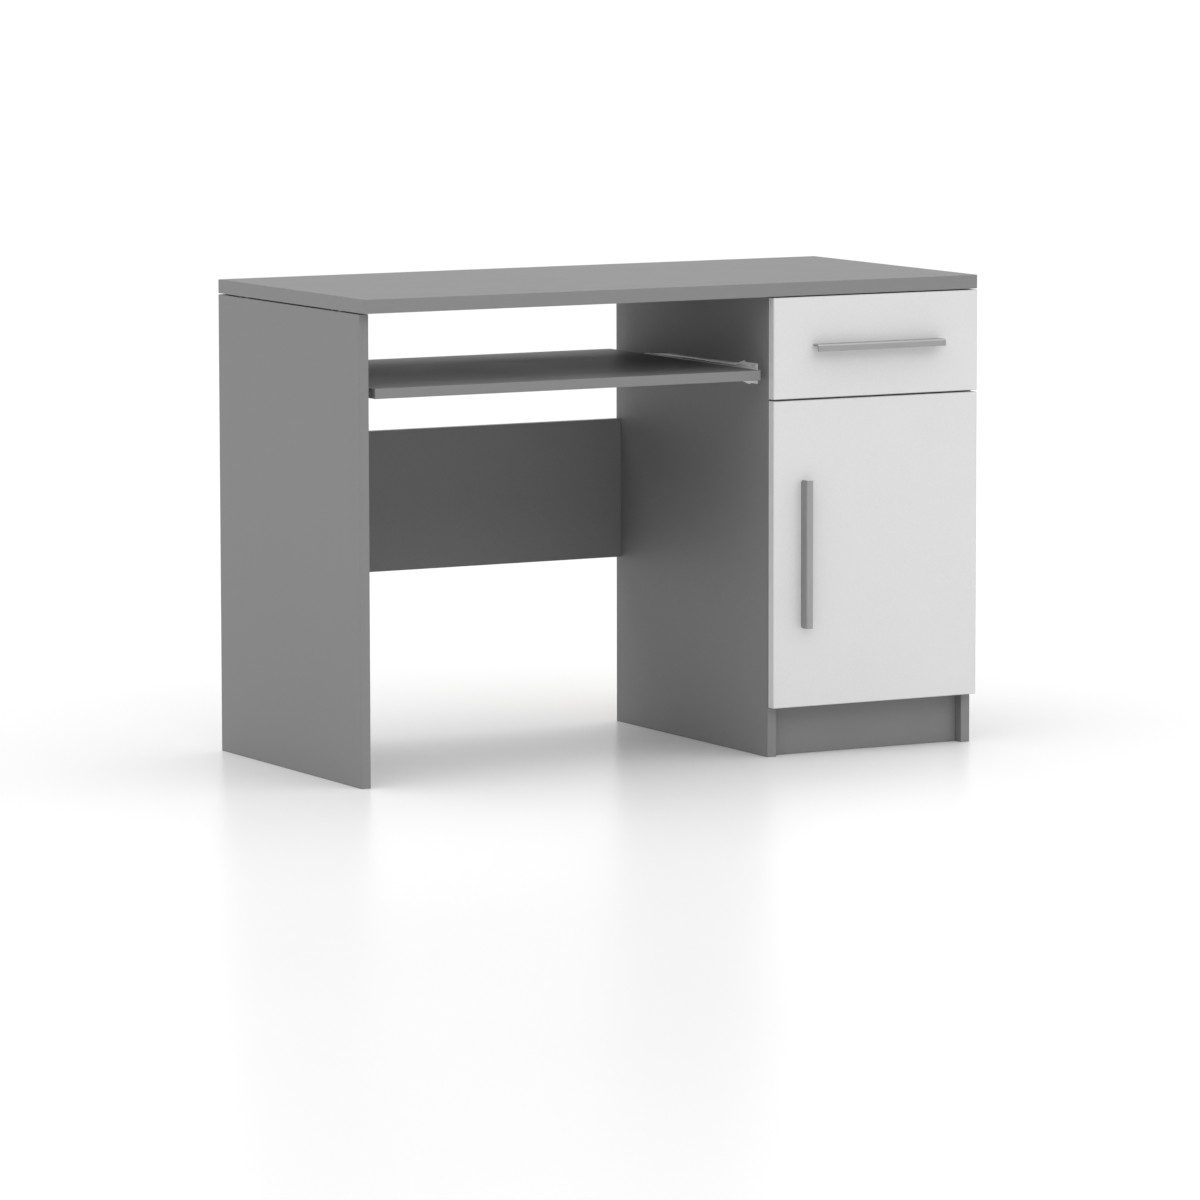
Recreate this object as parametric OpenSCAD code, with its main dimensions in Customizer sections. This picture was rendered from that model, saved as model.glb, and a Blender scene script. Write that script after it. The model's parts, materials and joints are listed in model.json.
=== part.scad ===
// Computer desk with a keyboard tray, a drawer and a cupboard.
// Millimetres, +Z up. The origin is on the floor, under the middle of the desk's outline.

/* [Desk] */
// Overall width
desk_w = 1100; // [960:10:1400]
// Depth of the top, front edge to back edge
desk_d = 515; // [470:5:650]
// Overall height
desk_h = 757; // [700:1:820]

/* [Boards] */
// Thickness of the top
top_t = 22; // [18:1:30]
// Thickness of the sides, floor, tray, shelf and fronts
board_t = 16; // [15:1:20]
// Thickness of the hardboard back and drawer bottom
hardboard_t = 3; // [2.5:0.5:5]
// Open reveal between the top and the boards that carry it
top_reveal = 2; // [1.5:0.5:5]
// Gap between a closed front and the board edges behind it
front_gap = 2; // [1.5:0.5:4]
// Gap between the drawer front and the door
fronts_split = 3; // [2:0.5:6]

/* [Pedestal] */
// Width of the pedestal over its two sides
pedestal_w = 377; // [320:1:480]
// Height of the recessed plinth
plinth_h = 80; // [50:1:120]
// How far the plinth sits behind the front edges of the sides
plinth_setback = 16; // [5:1:60]
// Height of the drawer front
drawer_front_h = 161; // [150:1:220]
// Height of the shelf's top face above the floor
shelf_z = 330; // [250:1:420]

/* [Modesty panel] */
// Height of its lower edge
modesty_z = 275; // [100:1:400]
// Height of the panel itself
modesty_h = 228; // [120:1:300]

/* [Keyboard tray] */
// Height of the tray's top face
tray_z = 618; // [560:1:640]
// Depth of the tray
tray_d = 494; // [420:1:600]
// How far the tray's front edge sits behind the top's front edge
tray_setback = 20; // [5:1:60]
// How far the tray pulls out
tray_travel = 220; // [120:10:230]

/* [Slides] */
// Gap between a board and the tray or drawer beside it, which holds one slide
slide_gap = 12; // [12:0.5:14]
// Height of a slide's channel
slide_h = 27; // [27:1:35]
// Length of the tray's slides
tray_slide_l = 350; // [350:10:400]
// Length of the drawer's slides
drawer_slide_l = 400; // [380:10:430]
// Distance from the front edges of the sides to the slides' front ends
slide_setback = 32; // [20:1:40]
// The same distance for the drawer's slides
drawer_slide_setback = 3; // [2:1:12]
// Diameter of the slide balls
ball_d = 3.6; // [3:0.1:4]

/* [Drawer] */
// Height of the drawer's side boards
drawer_side_h = 110; // [90:1:130]
// Depth of the drawer box behind its front
drawer_box_d = 400; // [390:5:450]
// Clearance between the drawer box and the board under it
drawer_lift = 12; // [4:1:20]
// Height of the slides' centre line above the drawer box's lower edge
drawer_slide_up = 42; // [40:1:60]
// How far the drawer pulls out
drawer_travel = 260; // [150:10:270]

/* [Handles] */
// Length of a handle
handle_l = 236; // [200:1:300]
// Distance from the front to the face of the handle
handle_out = 20; // [16:1:30]
// Width of the handle's front flange
handle_h = 11; // [9:1:16]
// Wall of the handle's profile
handle_t = 3; // [2:0.5:4]
// Distance between the two handle screws
handle_screw_span = 192; // [128:32:192]
// Distance from the door's free edge to the middle of its handle
door_handle_inset = 56; // [40:1:80]

/* [Door] */
// Distance from the door's top and bottom edges to the middle of each hinge
hinge_inset = 90; // [70:5:120]
// Distance from the door's hinged edge to the middle of the hinge cups
cup_inset = 22.5; // [21.5:0.5:24.5]

/* [Hidden] */
$fn = 48;

// Surface colours
grey_board = "#848484";
pale_front = "#dcdcdc";
steel = "#b9bcbd";
satin_alu = "#a6a8a9";
raw_hardboard = "#b6a48a";
birch = "#d8c29a";
soft_plastic = "#e9e9e6";
zinc = "#a9abad";

// Levels and depths that follow from the sizes above, measured from the desk's front left corner
side_y = board_t + front_gap;
side_h = desk_h - top_t - top_reveal;
side_d = desk_d - side_y;
ped_x = desk_w - pedestal_w;
ped_in_x = ped_x + board_t;
ped_in_w = pedestal_w - 2 * board_t;
right_in_x = desk_w - board_t;
back_inset = 12;
back_y = desk_d - back_inset - hardboard_t;
drawer_front_z = side_h - drawer_front_h;
door_top_z = drawer_front_z - fronts_split;
door_h = door_top_z - plinth_h;
divider_z = drawer_front_z - fronts_split / 2 - board_t / 2;
groove_deep = 5;
groove_play = 0.1;
edge_play = 0.5;
eps = 0.01;
// How far a cut runs past the surface that it opens
cut = 1;

// Everything is laid out from the desk's front left corner on the floor
outline_d = desk_d + handle_out;
module desk_corner() {
    translate([-desk_w / 2, outline_d / 2 - desk_d, 0])
        children();
}

// Turns +Z to the unit direction dir and puts it at point p
module along(p, dir) {
    translate(p)
        rotate([0, acos(dir[2]), atan2(dir[1], dir[0])])
            children();
}

// A rectangle with rounded corners, from its lower left corner
module round_rect(size, r) {
    translate([r, 0])
        square([size[0] - 2 * r, size[1]]);
    translate([0, r])
        square([size[0], size[1] - 2 * r]);
    for (x = [r, size[0] - r])
        for (y = [r, size[1] - r])
            translate([x, y])
                circle(r = r);
}

// ---------- Cam joints: a bolt in one board's face, caught by a cam in another board's end ----------
cam_d = 15;
cam_deep = 12.5;
cam_h = 12;
cam_reach = 24;
bolt_d = 5;
bolt_pilot = 11;
bolt_neck_d = 3.6;
bolt_head_d = 6.4;
bolt_head_h = 2;
bolt_bore_d = 7;
dowel_d = 8;
dowel_l = 30;
dowel_in_face = 10;
dowel_pitch = 32;
fastener_play = 0.05;
hole_spare = 0.5;
joint_inset = 70;
cam_slot_l = 6.4;
cam_slot_w = 1.2;
cam_slot_deep = 2;

// Each joint holds: the point where bolt and joint plane meet, the way into the board end,
// the way out of the face that the cam sits in, the gap between the boards, the dowel's offset
no_dowel = [0, 0, 0];
top_under_z = desk_h - top_t;
top_joint_ys = [side_y + joint_inset, desk_d - joint_inset - dowel_pitch];
function top_joints(x, out) = [
    for (y = top_joint_ys) [[x, y, top_under_z], [0, 0, -1], out, top_reveal, [0, dowel_pitch, 0]]
];
modesty_y = desk_d - board_t;
modesty_inset = 50;
modesty_zs = [modesty_z + modesty_inset, modesty_z + modesty_h - modesty_inset - dowel_pitch];
function modesty_joints(x, in_x) = [
    for (z = modesty_zs) [[x, modesty_y + board_t / 2, z], [in_x, 0, 0], [0, 1, 0], 0, [0, 0, dowel_pitch]]
];
function level_joints(z, x, in_x) = [
    for (y = [side_y + joint_inset, back_y - joint_inset])
        [[x, y, z + board_t / 2], [in_x, 0, 0], [0, 0, -1], 0, [0, dowel_pitch, 0]]
];
plinth_y = side_y + plinth_setback;
function plinth_joint(x, in_x) =
    [[[x, plinth_y + board_t / 2, plinth_h / 2], [in_x, 0, 0], [0, 1, 0], 0, no_dowel]];
function pedestal_joints(x, in_x) =
    concat(level_joints(plinth_h, x, in_x), level_joints(divider_z, x, in_x), plinth_joint(x, in_x));
desk_joints = concat(
    top_joints(board_t / 2, [1, 0, 0]),
    top_joints(ped_x + board_t / 2, [1, 0, 0]),
    top_joints(desk_w - board_t / 2, [-1, 0, 0]),
    modesty_joints(board_t, 1),
    modesty_joints(ped_x, -1),
    pedestal_joints(ped_in_x, 1),
    pedestal_joints(right_in_x, -1)
);

// The channel that the bolt slides into, from the joint plane to the middle of the cam
module bolt_channel(j, d) {
    along(j[0] + j[1] * (j[3] - eps), j[1])
        cylinder(d = d, h = cam_reach + bolt_head_h);
}

// The cam's place, with +Z out of the board's face
module at_cam(j) {
    along(j[0] + j[1] * (j[3] + cam_reach) + j[2] * (board_t / 2 - cam_deep), j[2])
        children();
}

// All the bores that a list of joints needs
module joint_bores(joints) {
    for (j = joints) {
        along(j[0] - j[1] * bolt_pilot, j[1])
            cylinder(d = bolt_d, h = bolt_pilot + eps);
        bolt_channel(j, bolt_bore_d);
        at_cam(j)
            cylinder(d = cam_d, h = cam_deep + cut);
        if (j[4] != no_dowel)
            along(j[0] + j[4] - j[1] * (dowel_in_face + hole_spare), j[1])
                cylinder(d = dowel_d, h = dowel_l + 2 * hole_spare);
    }
}

module cam_lock_set(joints) {
    for (j = joints)
        difference() {
            at_cam(j)
                difference() {
                    cylinder(d = cam_d - 2 * fastener_play, h = cam_h);
                    for (a = [45, 135])
                        rotate(a)
                            translate([-cam_slot_l / 2, -cam_slot_w / 2, cam_h - cam_slot_deep])
                                cube([cam_slot_l, cam_slot_w, cam_slot_deep + cut]);
                }
            bolt_channel(j, bolt_head_d + 2 * fastener_play);
        }
}

module cam_bolt_set(joints) {
    for (j = joints)
        along(j[0] - j[1] * bolt_pilot, j[1]) {
            cylinder(d = bolt_d - 2 * fastener_play, h = bolt_pilot + j[3]);
            cylinder(d = bolt_neck_d, h = bolt_pilot + j[3] + cam_reach);
            translate([0, 0, bolt_pilot + j[3] + cam_reach - bolt_head_h])
                cylinder(d = bolt_head_d, h = bolt_head_h);
        }
}

module cam_locks() {
    color(zinc)
        desk_corner()
            cam_lock_set(desk_joints);
}

module cam_bolts() {
    color(steel)
        desk_corner()
            cam_bolt_set(desk_joints);
}

module dowels() {
    color(birch)
        desk_corner()
            for (j = desk_joints)
                if (j[4] != no_dowel)
                    along(j[0] + j[4] - j[1] * dowel_in_face, j[1])
                        cylinder(d = dowel_d - 2 * fastener_play, h = dowel_l);
}

// Plastic rings round the bolts, which hold the top off the boards below it
spacer_d = 14;
module top_spacers() {
    color(soft_plastic)
        desk_corner()
            for (j = desk_joints)
                if (j[3] > 0)
                    along(j[0], j[1])
                        difference() {
                            cylinder(d = spacer_d, h = j[3]);
                            translate([0, 0, -cut])
                                cylinder(d = bolt_bore_d, h = j[3] + 2 * cut);
                        }
}

// ---------- Slides: channel on the fixed board, ball cage, runner on the tray or drawer ----------
// Local frame: x from the fixed board towards the runner, y from the slide's front end backwards,
// z from the slide's centre line
steel_t = 1.2;
channel_u = 9.5;
channel_r = 1.8;
lip_h = 3.2;
lip_root = 1;
ball_play = 0.1;
ball_v = slide_h / 2 - steel_t - ball_play - ball_d / 2;
ball_u = 6.2;
runner_v = ball_v - ball_d / 2 - ball_play;
runner_u = 4.2;
cage_t = 0.7;
cage_u = 2.2;
cage_tip_u = 8;
cage_play = 0.3;
plate_l = 54;
plate_fade = 6;
plate_v = 16;
ear_v = 18.2;
ear_top_y = 43;
ear_low_y = 26;
ear_w = 7;
tab_u = 3.4;
rear_taper_l = 84;
rear_taper_v = 7.4;
slot_y = 6;
slot_v = 11;
slot_w = 2.2;
slot_l = 6;
eyelet_y = 14.5;
eyelet_v = 11.5;
eyelet_d = 4;
screw_d = 3.5;
screw_clearance = 0.5;
screw_head_d = 6.4;
screw_head_h = 0.6;
screw_l = 14;
wall_screw_ys = [24, 96, 224];
runner_screw_ys = [30, 130, 300];
tray_cage_l = 70;
drawer_cage_l = 80;
cage_play_l = 2;
balls_per_end = 4;
ball_pitch = 9;
ball_end = 5;

// Carries an outline in x and z from y0 to y1
module run(y0, y1) {
    translate([0, y1, 0])
        rotate([90, 0, 0])
            linear_extrude(y1 - y0)
                children();
}

// Puts a slide's local frame against the fixed board's face at x, opening along way
module at_wall(x, way, y, z) {
    translate([x, y, z])
        mirror([way < 0 ? 1 : 0, 0, 0])
            children();
}

module channel_section() {
    difference() {
        translate([0, -slide_h / 2])
            round_rect([channel_u, slide_h], channel_r);
        translate([steel_t, -slide_h / 2 + steel_t])
            round_rect([channel_u - 2 * steel_t, slide_h - 2 * steel_t], channel_r - steel_t);
        translate([steel_t + lip_root, -slide_h / 2 + lip_h])
            square([channel_u, slide_h - 2 * lip_h]);
    }
}

// The flared front plate, seen along x: y forward to back, with one ear above and one below
module front_plate_outline() {
    polygon([
        [0, -plate_v], [ear_low_y - ear_w, -plate_v], [ear_low_y, -ear_v],
        [plate_l + plate_fade, -slide_h / 2], [plate_l + plate_fade, slide_h / 2],
        [ear_top_y, ear_v], [ear_top_y - ear_w, plate_v], [0, plate_v]
    ]);
}

// Carries an outline drawn in y and z through the plate's thickness along x
module through_x(x0, x1) {
    translate([x0, 0, 0])
        rotate([90, 0, 90])
            linear_extrude(x1 - x0)
                children();
}

module slide_outer(l) {
    color(steel)
        difference() {
            union() {
                difference() {
                    run(plate_l, l)
                        channel_section();
                    // The flanges run down towards the rear end
                    for (s = [-1, 1])
                        through_x(-cut, channel_u + cut)
                            polygon([
                                [l - rear_taper_l, s * slide_h / 2], [l + cut, s * rear_taper_v],
                                [l + cut, s * slide_h], [l - rear_taper_l, s * slide_h]
                            ]);
                }
                through_x(0, steel_t)
                    front_plate_outline();
                translate([0, 0, -plate_v])
                    cube([tab_u, steel_t, 2 * plate_v]);
            }
            for (y = wall_screw_ys)
                along([-cut, y, 0], [1, 0, 0])
                    cylinder(d = screw_d + screw_clearance, h = steel_t + 2 * cut);
            // An adjusting slot and an eyelet above and below at the front end
            for (s = [-1, 1]) {
                translate([-cut, slot_y, s * slot_v - slot_l / 2])
                    cube([steel_t + 2 * cut, slot_w, slot_l]);
                along([-cut, eyelet_y, s * eyelet_v], [1, 0, 0])
                    cylinder(d = eyelet_d, h = steel_t + 2 * cut);
            }
        }
}

module slide_cage(l, y0) {
    color(soft_plastic)
        difference() {
            run(y0, y0 + l)
                difference() {
                    translate([cage_u, -ball_v - cage_t / 2])
                        square([cage_tip_u - cage_u, 2 * ball_v + cage_t]);
                    translate([cage_u + cage_t, -ball_v + cage_t / 2])
                        square([cage_tip_u, 2 * ball_v - cage_t]);
                }
            for (p = ball_places(l, y0))
                translate([ball_u, p[0], p[1] - 2 * cut])
                    cylinder(d = ball_d + cage_play, h = 4 * cut);
        }
}

function ball_places(l, y0) = [
    for (end = [0, 1])
        for (i = [0 : balls_per_end - 1])
            for (s = [-1, 1])
                [y0 + (end == 0 ? ball_end + i * ball_pitch : l - ball_end - i * ball_pitch), s * ball_v]
];

module slide_balls(l, y0) {
    for (p = ball_places(l, y0))
        translate([ball_u, p[0], p[1]])
            sphere(d = ball_d, $fn = 24);
}

module slide_runner(l) {
    color(steel)
        difference() {
            run(0, l)
                difference() {
                    translate([runner_u, -runner_v])
                        square([slide_gap - runner_u, 2 * runner_v]);
                    translate([runner_u - cut, -runner_v + steel_t])
                        square([slide_gap - runner_u + cut - steel_t, 2 * (runner_v - steel_t)]);
                }
            for (y = runner_screw_ys)
                along([slide_gap - steel_t - cut, y, 0], [1, 0, 0])
                    cylinder(d = screw_d + screw_clearance, h = steel_t + 2 * cut);
        }
}

// Screws through the channel into the fixed board, and the bores they bite into
module wall_screws(play) {
    for (y = wall_screw_ys) {
        along([steel_t, y, 0], [-1, 0, 0])
            cylinder(d = screw_d - 2 * play, h = screw_l - steel_t);
        along([steel_t, y, 0], [1, 0, 0])
            cylinder(d = screw_head_d, h = screw_head_h);
    }
}

// Screws through the runner into the tray's or drawer's board
module runner_screws(play) {
    for (y = runner_screw_ys) {
        along([slide_gap - steel_t, y, 0], [1, 0, 0])
            cylinder(d = screw_d - 2 * play, h = screw_l);
        along([slide_gap - steel_t, y, 0], [-1, 0, 0])
            cylinder(d = screw_head_d, h = screw_head_h);
    }
}

// Where the four slides sit
tray_mid_z = tray_z - board_t / 2;
tray_slide_y = side_y + slide_setback;
drawer_slide_y = side_y + drawer_slide_setback;
drawer_box_z = divider_z + board_t + drawer_lift;
drawer_slide_z = drawer_box_z + drawer_slide_up;
// A cage rolls half as far as its runner, and pulled right out it ends just behind the front plate
tray_cage_y = plate_l + cage_play_l + tray_travel / 2;
drawer_cage_y = plate_l + cage_play_l + drawer_travel / 2;

module tray_slide_at(way) {
    desk_corner()
        at_wall(way > 0 ? board_t : ped_x, way, tray_slide_y, tray_mid_z)
            children();
}

module drawer_slide_at(way) {
    desk_corner()
        at_wall(way > 0 ? ped_in_x : right_in_x, way, drawer_slide_y, drawer_slide_z)
            children();
}

module tray_slide_outer_left() tray_slide_at(1) slide_outer(tray_slide_l);
module tray_slide_outer_right() tray_slide_at(-1) slide_outer(tray_slide_l);
module tray_slide_cage_left() tray_slide_at(1) slide_cage(tray_cage_l, tray_cage_y);
module tray_slide_cage_right() tray_slide_at(-1) slide_cage(tray_cage_l, tray_cage_y);
module tray_slide_inner_left() tray_slide_at(1) slide_runner(tray_slide_l);
module tray_slide_inner_right() tray_slide_at(-1) slide_runner(tray_slide_l);
module drawer_slide_outer_left() drawer_slide_at(1) slide_outer(drawer_slide_l);
module drawer_slide_outer_right() drawer_slide_at(-1) slide_outer(drawer_slide_l);
module drawer_slide_cage_left() drawer_slide_at(1) slide_cage(drawer_cage_l, drawer_cage_y);
module drawer_slide_cage_right() drawer_slide_at(-1) slide_cage(drawer_cage_l, drawer_cage_y);
module drawer_slide_inner_left() drawer_slide_at(1) slide_runner(drawer_slide_l);
module drawer_slide_inner_right() drawer_slide_at(-1) slide_runner(drawer_slide_l);

module tray_slide_balls() {
    color(steel)
        for (way = [1, -1])
            tray_slide_at(way)
                slide_balls(tray_cage_l, tray_cage_y);
}

module drawer_slide_balls() {
    color(steel)
        for (way = [1, -1])
            drawer_slide_at(way)
                slide_balls(drawer_cage_l, drawer_cage_y);
}

module tray_slide_screws() {
    color(zinc)
        for (way = [1, -1])
            tray_slide_at(way)
                wall_screws(fastener_play);
}

module drawer_slide_screws() {
    color(zinc)
        for (way = [1, -1])
            drawer_slide_at(way)
                wall_screws(fastener_play);
}

module tray_edge_screws() {
    color(zinc)
        for (way = [1, -1])
            tray_slide_at(way)
                runner_screws(fastener_play);
}

module drawer_runner_screws() {
    color(zinc)
        for (way = [1, -1])
            drawer_slide_at(way)
                runner_screws(fastener_play);
}

// ---------- Boards that stand still ----------
// A board from corner p, with the bores of the desk's joints
module desk_board(p, size) {
    color(grey_board)
        desk_corner()
            difference() {
                translate(p)
                    cube(size);
                joint_bores(desk_joints);
                children();
            }
}

module desktop() {
    desk_board([0, 0, top_under_z], [desk_w, desk_d, top_t]);
}

// The bores for one tray slide's screws in the board at x
module tray_wall_bores(x, way) {
    at_wall(x, way, tray_slide_y, tray_mid_z)
        wall_screws(0);
}

module drawer_wall_bores(x, way) {
    at_wall(x, way, drawer_slide_y, drawer_slide_z)
        wall_screws(0);
}

// The groove for the cupboard's hardboard back, in the board face at x
module back_groove(x, way) {
    translate([way > 0 ? x - eps : x - groove_deep, back_y - groove_play, plinth_h])
        cube([groove_deep + eps, hardboard_t + 2 * groove_play, side_h]);
}

module left_side_panel() {
    desk_board([0, side_y, 0], [board_t, side_d, side_h])
        tray_wall_bores(board_t, 1);
}

module pedestal_left_panel() {
    desk_board([ped_x, side_y, 0], [board_t, side_d, side_h]) {
        tray_wall_bores(ped_x, -1);
        drawer_wall_bores(ped_in_x, 1);
        back_groove(ped_in_x, -1);
        shelf_pin_bores(ped_in_x, -1);
    }
}

module right_side_panel() {
    desk_board([right_in_x, side_y, 0], [board_t, side_d, side_h]) {
        drawer_wall_bores(right_in_x, -1);
        back_groove(right_in_x, 1);
        shelf_pin_bores(right_in_x, 1);
        hinge_plate_bores();
    }
}

module modesty_panel() {
    desk_board([board_t, modesty_y, modesty_z], [ped_x - board_t, board_t, modesty_h]);
}

module plinth() {
    desk_board([ped_in_x, plinth_y, 0], [ped_in_w, board_t, plinth_h]);
}

module cupboard_floor() {
    desk_board([ped_in_x, side_y, plinth_h], [ped_in_w, back_y - side_y, board_t]);
}

module drawer_divider() {
    desk_board([ped_in_x, side_y, divider_z], [ped_in_w, back_y - side_y, board_t]);
}

module cupboard_back() {
    in_groove = groove_deep - edge_play;
    color(raw_hardboard)
        desk_corner()
            translate([ped_in_x - in_groove, back_y, plinth_h])
                cube([ped_in_w + 2 * in_groove, hardboard_t, side_h - plinth_h]);
}

// ---------- Loose shelf on four pins ----------
pin_d = 5;
pin_in = 8;
pin_out = 7;
pin_head_d = 6.6;
pin_inset = 50;
shelf_setback = 30;
shelf_play = 1;
shelf_back_gap = 2;
shelf_y = side_y + shelf_setback;
shelf_back_y = back_y - shelf_back_gap;
pin_z = shelf_z - board_t - pin_head_d / 2;
pin_ys = [shelf_y + pin_inset, shelf_back_y - pin_inset];

module shelf_pin_bores(x, way) {
    for (y = pin_ys)
        along([x, y, pin_z], [way, 0, 0])
            translate([0, 0, -eps])
                cylinder(d = pin_d, h = pin_in + hole_spare);
}

module shelf_pins() {
    color(steel)
        desk_corner()
            for (y = pin_ys)
                for (side = [[ped_in_x, -1], [right_in_x, 1]]) {
                    along([side[0], y, pin_z], [side[1], 0, 0])
                        cylinder(d = pin_d - 2 * fastener_play, h = pin_in);
                    along([side[0], y, pin_z], [-side[1], 0, 0])
                        cylinder(d = pin_head_d, h = pin_out);
                }
}

module cupboard_shelf() {
    color(grey_board)
        desk_corner()
            translate([ped_in_x + shelf_play, shelf_y, shelf_z - board_t])
                cube([ped_in_w - 2 * shelf_play, shelf_back_y - shelf_y, board_t]);
}

// ---------- Keyboard tray ----------
tray_x = board_t + slide_gap;
tray_w = ped_x - board_t - 2 * slide_gap;
module keyboard_tray() {
    color(grey_board)
        desk_corner()
            difference() {
                translate([tray_x, tray_setback, tray_z - board_t])
                    cube([tray_w, tray_d, board_t]);
                for (side = [[board_t, 1], [ped_x, -1]])
                    at_wall(side[0], side[1], tray_slide_y, tray_mid_z)
                        runner_screws(0);
            }
}

// ---------- Handles ----------
handle_chamfer = 2.2;
handle_edge = 1;
handle_root = 1.5;
handle_corner_r = 5;
post_d = 7.6;
post_bite = 0.8;
post_end_bite = 0.5;
handle_screw_d = 4;
handle_screw_in = 10;
screw_end_gap = 1;
handle_screw_head_d = 8;
handle_screw_head_h = 2.4;
post_v = handle_h / 2 - handle_t - post_d / 2 + post_bite;

// The profile seen from its end: x away from the front, y across; a plate and a flange at its edge
module handle_section() {
    top = handle_h / 2;
    inner = handle_out - handle_t;
    polygon([
        [0, top - handle_t], [0, top], [handle_out - handle_chamfer, top], [handle_out, top - handle_chamfer],
        [handle_out, -top + handle_edge], [handle_out - handle_edge, -top], [inner, -top],
        [inner, top - handle_t - handle_root], [inner - handle_root, top - handle_t]
    ]);
}

// A handle lying along z, its plate on the +y side, standing out along +x
module handle() {
    posts = [-handle_screw_span / 2, handle_screw_span / 2];
    color(satin_alu)
        difference() {
            union() {
                intersection() {
                    translate([0, 0, -handle_l / 2])
                        linear_extrude(handle_l)
                            handle_section();
                    // Rounds the plate's corners beside the front
                    translate([0, handle_h, 0])
                        rotate([90, 0, 0])
                            translate([0, -handle_l / 2, 0])
                                linear_extrude(2 * handle_h) {
                                    round_rect([handle_out - handle_edge, handle_l], handle_corner_r);
                                    translate([handle_corner_r, 0])
                                        square([handle_out - handle_corner_r, handle_l]);
                                }
                }
                for (z = posts)
                    along([0, post_v, z], [1, 0, 0])
                        cylinder(d = post_d, h = handle_out - handle_t + post_end_bite);
            }
            for (z = posts)
                along([-cut, post_v, z], [1, 0, 0])
                    cylinder(d = handle_screw_d, h = cut + handle_screw_in + screw_end_gap);
        }
}

module handle_screw_set() {
    for (z = [-handle_screw_span / 2, handle_screw_span / 2]) {
        along([-board_t, post_v, z], [1, 0, 0])
            cylinder(d = handle_screw_d - 2 * fastener_play, h = board_t + handle_screw_in);
        along([-board_t, post_v, z], [-1, 0, 0])
            cylinder(d = handle_screw_head_d, h = handle_screw_head_h);
    }
}

module handle_screw_bores() {
    for (z = [-handle_screw_span / 2, handle_screw_span / 2])
        along([-board_t - cut, post_v, z], [1, 0, 0])
            cylinder(d = handle_screw_d + screw_clearance, h = board_t + 2 * cut);
}

// Places of the two handles: the drawer's lies level with its plate on top,
// the door's stands upright with its plate towards the door's free edge
module at_drawer_handle() {
    desk_corner()
        translate([ped_x + pedestal_w / 2, 0, drawer_front_z + drawer_front_h / 2])
            rotate([90, 0, -90])
                children();
}

module at_door_handle() {
    desk_corner()
        translate([ped_x + door_handle_inset, 0, plinth_h + door_h / 2])
            rotate([0, 0, -90])
                mirror([0, 1, 0])
                    children();
}

module drawer_handle() at_drawer_handle() handle();
module door_handle() at_door_handle() handle();

module drawer_handle_screws() {
    color(steel)
        at_drawer_handle()
            handle_screw_set();
}

module door_handle_screws() {
    color(steel)
        at_door_handle()
            handle_screw_set();
}

// ---------- Drawer ----------
drawer_x = ped_in_x + slide_gap;
drawer_w = ped_in_w - 2 * slide_gap;
drawer_right_x = drawer_x + drawer_w - board_t;
// The box starts behind the front board and ends with its own back board, which is just as thick
drawer_back_y = drawer_box_d;
bottom_up = 10;
drawer_joint_up = 28;
drawer_joint_down = 25;
drawer_joint_ups = [drawer_joint_up, drawer_side_h - drawer_joint_down];
box_screw_d = 5;
box_screw_l = 45;
box_screw_head_d = 7;
box_screw_head_h = 3;
box_screw_inset = 24;
box_screw_ups = [box_screw_inset, drawer_side_h - box_screw_inset];
drawer_joints = [
    for (side = [[drawer_x, 1], [drawer_right_x, -1]])
        for (up = drawer_joint_ups)
            [[side[0] + board_t / 2, board_t, drawer_box_z + up], [0, 1, 0], [side[1], 0, 0], 0, no_dowel]
];

module drawer_groove() {
    translate([
        drawer_x + board_t - groove_deep, board_t - groove_deep, drawer_box_z + bottom_up - groove_play
    ])
        cube([
            drawer_w - 2 * board_t + 2 * groove_deep, drawer_back_y - board_t + 2 * groove_deep,
            hardboard_t + 2 * groove_play
        ]);
}

// Screws from the sides into the ends of the back board
module box_screw_set(play) {
    for (side = [[drawer_x, 1], [drawer_x + drawer_w, -1]])
        for (up = box_screw_ups)
            along([side[0], drawer_back_y + board_t / 2, drawer_box_z + up], [side[1], 0, 0]) {
                cylinder(d = box_screw_d - 2 * play, h = box_screw_l);
                translate([0, 0, play])
                    cylinder(d = box_screw_head_d - 2 * play, h = box_screw_head_h - play);
            }
}

module drawer_board(p, size) {
    color(grey_board)
        desk_corner()
            difference() {
                translate(p)
                    cube(size);
                joint_bores(drawer_joints);
                drawer_groove();
                box_screw_set(0);
                for (side = [[ped_in_x, 1], [right_in_x, -1]])
                    at_wall(side[0], side[1], drawer_slide_y, drawer_slide_z)
                        runner_screws(0);
            }
}

module drawer_side_left() {
    drawer_board([drawer_x, board_t, drawer_box_z], [board_t, drawer_box_d, drawer_side_h]);
}

module drawer_side_right() {
    drawer_board([drawer_right_x, board_t, drawer_box_z], [board_t, drawer_box_d, drawer_side_h]);
}

module drawer_back() {
    drawer_board(
        [drawer_x + board_t, drawer_back_y, drawer_box_z],
        [drawer_w - 2 * board_t, board_t, drawer_side_h]
    );
}

module drawer_bottom() {
    in_groove = groove_deep - edge_play;
    color(raw_hardboard)
        desk_corner()
            translate([drawer_x + board_t - in_groove, board_t - in_groove, drawer_box_z + bottom_up])
                cube([
                    drawer_w - 2 * board_t + 2 * in_groove, drawer_back_y - board_t + 2 * in_groove,
                    hardboard_t
                ]);
}

module drawer_front() {
    color(pale_front)
        difference() {
            desk_corner()
                difference() {
                    translate([ped_x, 0, drawer_front_z])
                        cube([pedestal_w, board_t, drawer_front_h]);
                    joint_bores(drawer_joints);
                    drawer_groove();
                }
            at_drawer_handle()
                handle_screw_bores();
        }
}

module drawer_cam_locks() {
    color(zinc)
        desk_corner()
            cam_lock_set(drawer_joints);
}

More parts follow.
